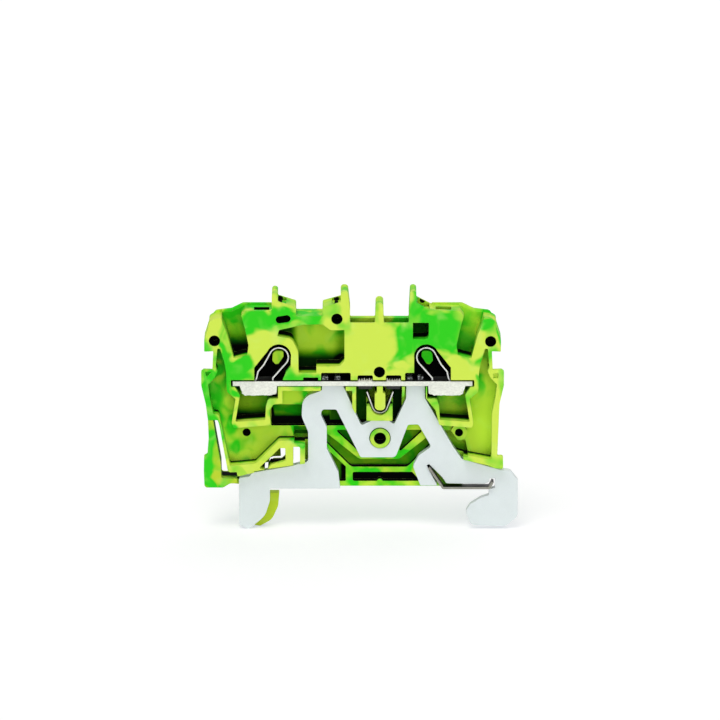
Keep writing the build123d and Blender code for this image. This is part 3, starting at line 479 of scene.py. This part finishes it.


# the housing's nylon carries painted shade in its cells, slots and holes
housing_plastic = marbled("marbled_nylon", GREEN, LIME, PATCHES, (CELL_SHADE_BANDS, SLOT_SHADE_BANDS))
latch_plastic = marbled("marbled_nylon_latch", GREEN, LATCH_LIME, LATCH_PATCHES)
foot_tin = metal("plated_foot", TIN, 0.5, (6.0, 6.0, 7.0), 0.035, 0.02, 0.4, dark=None, upset=BAR_TOP)
# the bar is painted near black as shade where it runs deep in its groove
bar_tin = metal("plated_bar", BAR_TIN, 0.5, (3.0, 6.0, 5.0), 0.16, 0.05, 0.45, shaft_shade=(-2.2, -1.6))
spring_steel = metal("spring_steel", SPRING, 0.3, (2.0, 9.0, 2.0), 0.08, 0.05)
teeth_tin = metal("upset_teeth", TEETH, 0.5, (3.0, 6.0, 5.0), 0.3, 0.2, 0.4, dark=None)
# painted shade on the contact strip's inner ledges
strip_shade = (0.0, 0.05, -1.75, 0.2)
strip_steel = metal("contact_strip", STRIP, 0.45, (1.5, 6.0, 3.0), 0.08, 0.08, 0.5, dark=strip_shade)

FINISH = {
    "housing": housing_plastic,
    "rail_latch": latch_plastic,
    "ground_foot": foot_tin,
    "busbar": bar_tin,
    "rail_strip": strip_steel,
    "rail_strip_leg": strip_steel,
}
for node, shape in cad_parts.items():
    shape.data.materials.clear()
    shape.data.materials.append(FINISH.get(node, spring_steel))


def add_piece(name, shape, material):
    """Object made from a bmesh, which is used up."""
    mesh = bpy.data.meshes.new(name)
    shape.to_mesh(mesh)
    shape.free()
    mesh.materials.append(material)
    piece = bpy.data.objects.new(name, mesh)
    bpy.context.scene.collection.objects.link(piece)
    return piece


# ---------------------------------------------------------------- bent strips
CLAMP_U = 11.82  # loop centre, from the middle of the housing
CLAMP_Z = 21.85
LOOP_R = 1.53
LOOP_END = 30.0  # degrees round the loop, where the tongue begins
SPRING_T = 0.28
CLAMP_LEG_U = 12.79
CLAMP_FOOT_Z = 16.25
CLAMP_KNEE_Z = 18.4
TONGUE = ((14.2, 20.63), (15.15, 19.5), (15.4, 18.37), (16.2, 16.73))


def ribbon(name, path, thick, near, far, material):
    """Steel strip with slightly broken edges along a middle line in X and Z."""
    edge = 0.04
    half = thick / 2
    section = (
        (-half, near + edge),
        (-half + edge, near),
        (half - edge, near),
        (half, near + edge),
        (half, far - edge),
        (half - edge, far),
        (-half + edge, far),
        (-half, far - edge),
    )
    points = [Vector((x, 0, z)) for x, z in path]
    shape = bmesh.new()
    rings = []
    for i, point in enumerate(points):
        before = points[max(i - 1, 0)]
        after = points[min(i + 1, len(points) - 1)]
        along = (after - before).normalized()
        across = along.cross(Vector((0, 1, 0)))
        rings.append([shape.verts.new((point + across * a + Vector((0, y, 0))) * MM) for a, y in section])
    for ring, following in zip(rings, rings[1:]):
        for i in range(len(section)):
            j = (i + 1) % len(section)
            face = shape.faces.new((ring[i], ring[j], following[j], following[i]))
            face.smooth = True
    shape.faces.new(rings[0])
    shape.faces.new(rings[-1][::-1])
    for ring, following in zip(rings, rings[1:]):
        for a, b in zip(ring, following):
            shape.edges.get((a, b)).smooth = False
    bmesh.ops.recalc_face_normals(shape, faces=shape.faces)
    return add_piece(name, shape, material)


def arc(centre, radius, start, end, step=6.0):
    """Points round an arc; angles in degrees from +X towards +Z."""
    count = max(2, round(abs(end - start) / step))
    angles = [math.radians(start + (end - start) * i / count) for i in range(count + 1)]
    return [(centre[0] + radius * math.cos(a), centre[1] + radius * math.sin(a)) for a in angles]


def rounded_path(points, radius, steps=6):
    """Middle line with its corners rounded."""
    path = [points[0]]
    for before, corner, after in zip(points, points[1:], points[2:]):
        b, c, a = Vector(before), Vector(corner), Vector(after)
        into, out = (c - b).normalized(), (a - c).normalized()
        turn = into.angle(out)
        reach = radius * math.tan(turn / 2)
        first, last = c - into * reach, c + out * reach
        for i in range(steps + 1):
            s = i / steps
            path.append(tuple(first.lerp(c, s).lerp(c.lerp(last, s), s)))
    path.append(points[-1])
    return path


def dense(path, step):
    """The same line with more points, so that it bends smoothly."""
    result = [path[0]]
    for a, b in zip(path, path[1:]):
        a, b = Vector(a), Vector(b)
        count = max(1, math.ceil((b - a).length / step))
        result.extend(tuple(a.lerp(b, (i + 1) / count)) for i in range(count))
    return result


def clamp_strip(side, name, nodes):
    """One steel strip: leg, loop and tongue of a clamp."""
    centre = (CLAMP_U, CLAMP_Z)
    knee = (CLAMP_LEG_U, CLAMP_KNEE_Z)
    away = Vector(knee) - Vector(centre)
    touch_angle = math.degrees(math.atan2(away.y, away.x) - math.acos(LOOP_R / away.length)) % 360
    loop = arc(centre, LOOP_R, touch_angle, LOOP_END)
    leg = rounded_path([(CLAMP_LEG_U, CLAMP_FOOT_Z), knee, loop[0]], 0.3)
    tongue = rounded_path([loop[-1], *TONGUE], 0.45)
    path = leg[:-1] + loop[:-1] + tongue
    low, high = (corner.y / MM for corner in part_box(nodes[0]))
    turned = [(MID + side * u, z) for u, z in dense(path, 0.2)]
    piece = ribbon(name, turned, SPRING_T, low, high, spring_steel)
    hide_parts(*nodes)
    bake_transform(piece)


clamp_strip(-1, "left_clamp_strip", ("left_clamp_spring", "left_clamp_tongue"))
clamp_strip(1, "right_clamp_strip", ("right_clamp_spring", "right_clamp_tongue"))


def ragged_sheet(name, top, bottom, near, far, material):
    """Thin torn lip: top and bottom are lines of the same number of points in X and Z."""
    shape = bmesh.new()
    rows = []
    for y in (near, far):
        for line in (top, bottom):
            rows.append([shape.verts.new(Vector((x, y, z)) * MM) for x, z in line])
    front_top, front_low, back_top, back_low = rows
    loop = (front_top, front_low, back_low, back_top, front_top)
    for i in range(len(top) - 1):
        for a, b in zip(loop, loop[1:]):
            shape.faces.new((a[i], a[i + 1], b[i + 1], b[i]))
    for i in (0, -1):
        shape.faces.new([row[i] for row in loop[:-1]])
    bmesh.ops.recalc_face_normals(shape, faces=shape.faces)
    piece = add_piece(name, shape, material)
    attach(piece, "block")


def jitter(x, seed):
    """Repeatable uneven value around 0."""
    return noise.noise(Vector((x * 2.3, seed, 0.5))) + 0.6 * noise.noise(Vector((x * 6.1, seed, 3.5)))


def stretch(start, end, step):
    """Evenly spaced values from start to end."""
    count = round(abs(end - start) / step)
    return [start + (end - start) * i / count for i in range(count + 1)]


COLLAR_MID = 15.1  # middle of a collar's straight lower edge, which rises past EDGE_HALF from it
EDGE_HALF = 2.1
TEETH_X = 2.3  # middle of a row of teeth
TEETH_HALF = 1.15


def collar_low(x, side):
    """Height of the torn lower lip of a drawn collar."""
    past = max(0, abs(abs(x - MID) - COLLAR_MID) - EDGE_HALF)
    return COLLAR_Z - 0.02 + 0.08 * jitter(x, 7.0 + side) + 0.6 * past


def tooth_top(x):
    """Height of the upset teeth beside a jumper slot."""
    return BAR_TOP + 0.26 + (0.2 if round(x * 10) % 4 < 2 else -0.1) + 0.14 * jitter(x, 3.0)


for side, name in ((-1, "left"), (1, "right")):
    xs = [MID + side * u for u in stretch(*COLLAR_U, 0.13)]
    low = [(x, collar_low(x, side)) for x in xs]
    high = [(x, COLLAR_Z + 0.4) for x in xs]
    ragged_sheet(f"{name}_collar_lip", high, low, BAR_FRONT - 0.06, BAR_FRONT + 0.15, bar_tin)
    xs = stretch(side * TEETH_X - TEETH_HALF, side * TEETH_X + TEETH_HALF, 0.1)
    teeth = [(x, tooth_top(x)) for x in xs]
    roots = [(x, BAR_TOP - 0.05) for x in xs]
    ragged_sheet(f"{name}_jumper_teeth", teeth, roots, BAR_FRONT + 0.1, BAR_FRONT + 0.3, teeth_tin)


SILL = ((-22.95, 3.25), (-20.1, 3.25), (-20.1, 3.02), (-22.5, 2.42), (-22.8, 2.5))


def sill():
    """Lower edge of the housing where it meets the ground foot."""
    near, far = FRONT_Y + 0.02, -0.4
    shape = bmesh.new()
    front = [shape.verts.new(Vector((x, near, z)) * MM) for x, z in SILL]
    face = shape.faces.new(front)
    grown = bmesh.ops.extrude_face_region(shape, geom=[face])["geom"]
    moved = [v for v in grown if isinstance(v, bmesh.types.BMVert)]
    bmesh.ops.translate(shape, verts=moved, vec=(0, (far - near) * MM, 0))
    bmesh.ops.bevel(shape, geom=list(shape.edges), offset=0.04 * MM, segments=1, affect="EDGES")
    bmesh.ops.recalc_face_normals(shape, faces=shape.faces)
    piece = add_piece("housing_sill", shape, housing_plastic)
    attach(piece, "block")


sill()


# ---------------------------------------------------------------- studio
FLOOR_SIZE = 6.0  # metres
FLOOR_SEEN = (0.60, 0.55, 0.50, 1)  # the camera sees this, lifted to white by FLOOR_GLOW
FLOOR_GLOW = (0.49, 0.53, 0.58, 1)
FLOOR_PAPER = ((0.92, 0.92, 0.92, 1), (0.94, 0.94, 0.94, 1))
SKY_LIGHT = 0.36  # on the object; the camera sees white
LAMPS = (  # name, azimuth, elevation, angle, strength
    ("key", -20, 60, 35, 1.3),
    ("fill", 8, 6, 40, 1.05),
    ("back", 165, 50, 50, 0.45),
)
LENS = 374.8
SENSOR = 36.0
TILT = 13.2
AIM = (-3.11, FRONT_Y, 21.62)
DISTANCE = 1200


def add_floor():
    """Plain pale floor that keeps a faint shadow."""
    mesh = bpy.data.meshes.new("floor")
    shape = bmesh.new()
    bmesh.ops.create_grid(shape, x_segments=8, y_segments=8, size=FLOOR_SIZE)
    shape.to_mesh(mesh)
    shape.free()
    floor = bpy.data.objects.new("floor", mesh)
    floor.location = (0, 0, FLOOR_Z)
    bpy.context.scene.collection.objects.link(floor)
    floor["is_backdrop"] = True
    t = Tree("floor_paper")
    seen = t.nodes.new("ShaderNodeLightPath").outputs["Is Camera Ray"]
    paper = t.mix(t.noise(t.place, 0.002, 2.0), *FLOOR_PAPER)
    t.put(t.shader.inputs["Base Color"], t.mix(seen, paper, FLOOR_SEEN))
    t.shader.inputs["Emission Color"].default_value = FLOOR_GLOW
    t.put(t.shader.inputs["Emission Strength"], seen)
    t.shader.inputs["Roughness"].default_value = 0.9
    t.shader.inputs["Specular IOR Level"].default_value = 0.1
    mesh.materials.append(t.material)


def add_world():
    """White to the camera, softer on the object."""
    world = bpy.data.worlds.new("studio")
    bpy.context.scene.world = world
    world.use_nodes = True
    nodes, links = world.node_tree.nodes, world.node_tree.links
    back = nodes["Background"]
    back.inputs["Color"].default_value = (1, 1, 1, 1)
    rays = nodes.new("ShaderNodeLightPath")
    seen = rays.outputs["Is Camera Ray"]
    for kind in ("Is Glossy Ray", "Is Transmission Ray"):
        either = nodes.new("ShaderNodeMath")
        either.operation = "MAXIMUM"
        links.new(seen, either.inputs[0])
        links.new(rays.outputs[kind], either.inputs[1])
        seen = either.outputs[0]
    level = nodes.new("ShaderNodeMapRange")
    links.new(seen, level.inputs["Value"])
    level.inputs["To Min"].default_value = SKY_LIGHT
    level.inputs["To Max"].default_value = 1.0
    links.new(level.outputs["Result"], back.inputs["Strength"])


def add_lamps():
    for name, azimuth, elevation, angle, strength in LAMPS:
        lamp = bpy.data.lights.new(name, "SUN")
        lamp.energy = strength
        lamp.angle = math.radians(angle)
        holder = bpy.data.objects.new(name, lamp)
        a, e = math.radians(azimuth), math.radians(elevation)
        towards = Vector((math.sin(a) * math.cos(e), -math.cos(a) * math.cos(e), math.sin(e)))
        holder.rotation_euler = towards.to_track_quat("Z", "Y").to_euler()
        bpy.context.scene.collection.objects.link(holder)


def add_camera():
    lens = bpy.data.cameras.new("camera")
    lens.sensor_width = SENSOR
    lens.lens = LENS
    lens.clip_start, lens.clip_end = 0.01, 50.0
    holder = bpy.data.objects.new("camera", lens)
    tilt = math.radians(TILT)
    back = Vector((0, -math.cos(tilt), math.sin(tilt)))
    holder.location = (Vector(AIM) + back * DISTANCE) * MM
    holder.rotation_euler = back.to_track_quat("Z", "Y").to_euler()
    bpy.context.scene.collection.objects.link(holder)
    bpy.context.scene.camera = holder


add_floor()
add_world()
add_lamps()
add_camera()
bpy.context.scene.view_settings.view_transform = "Standard"
low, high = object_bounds()
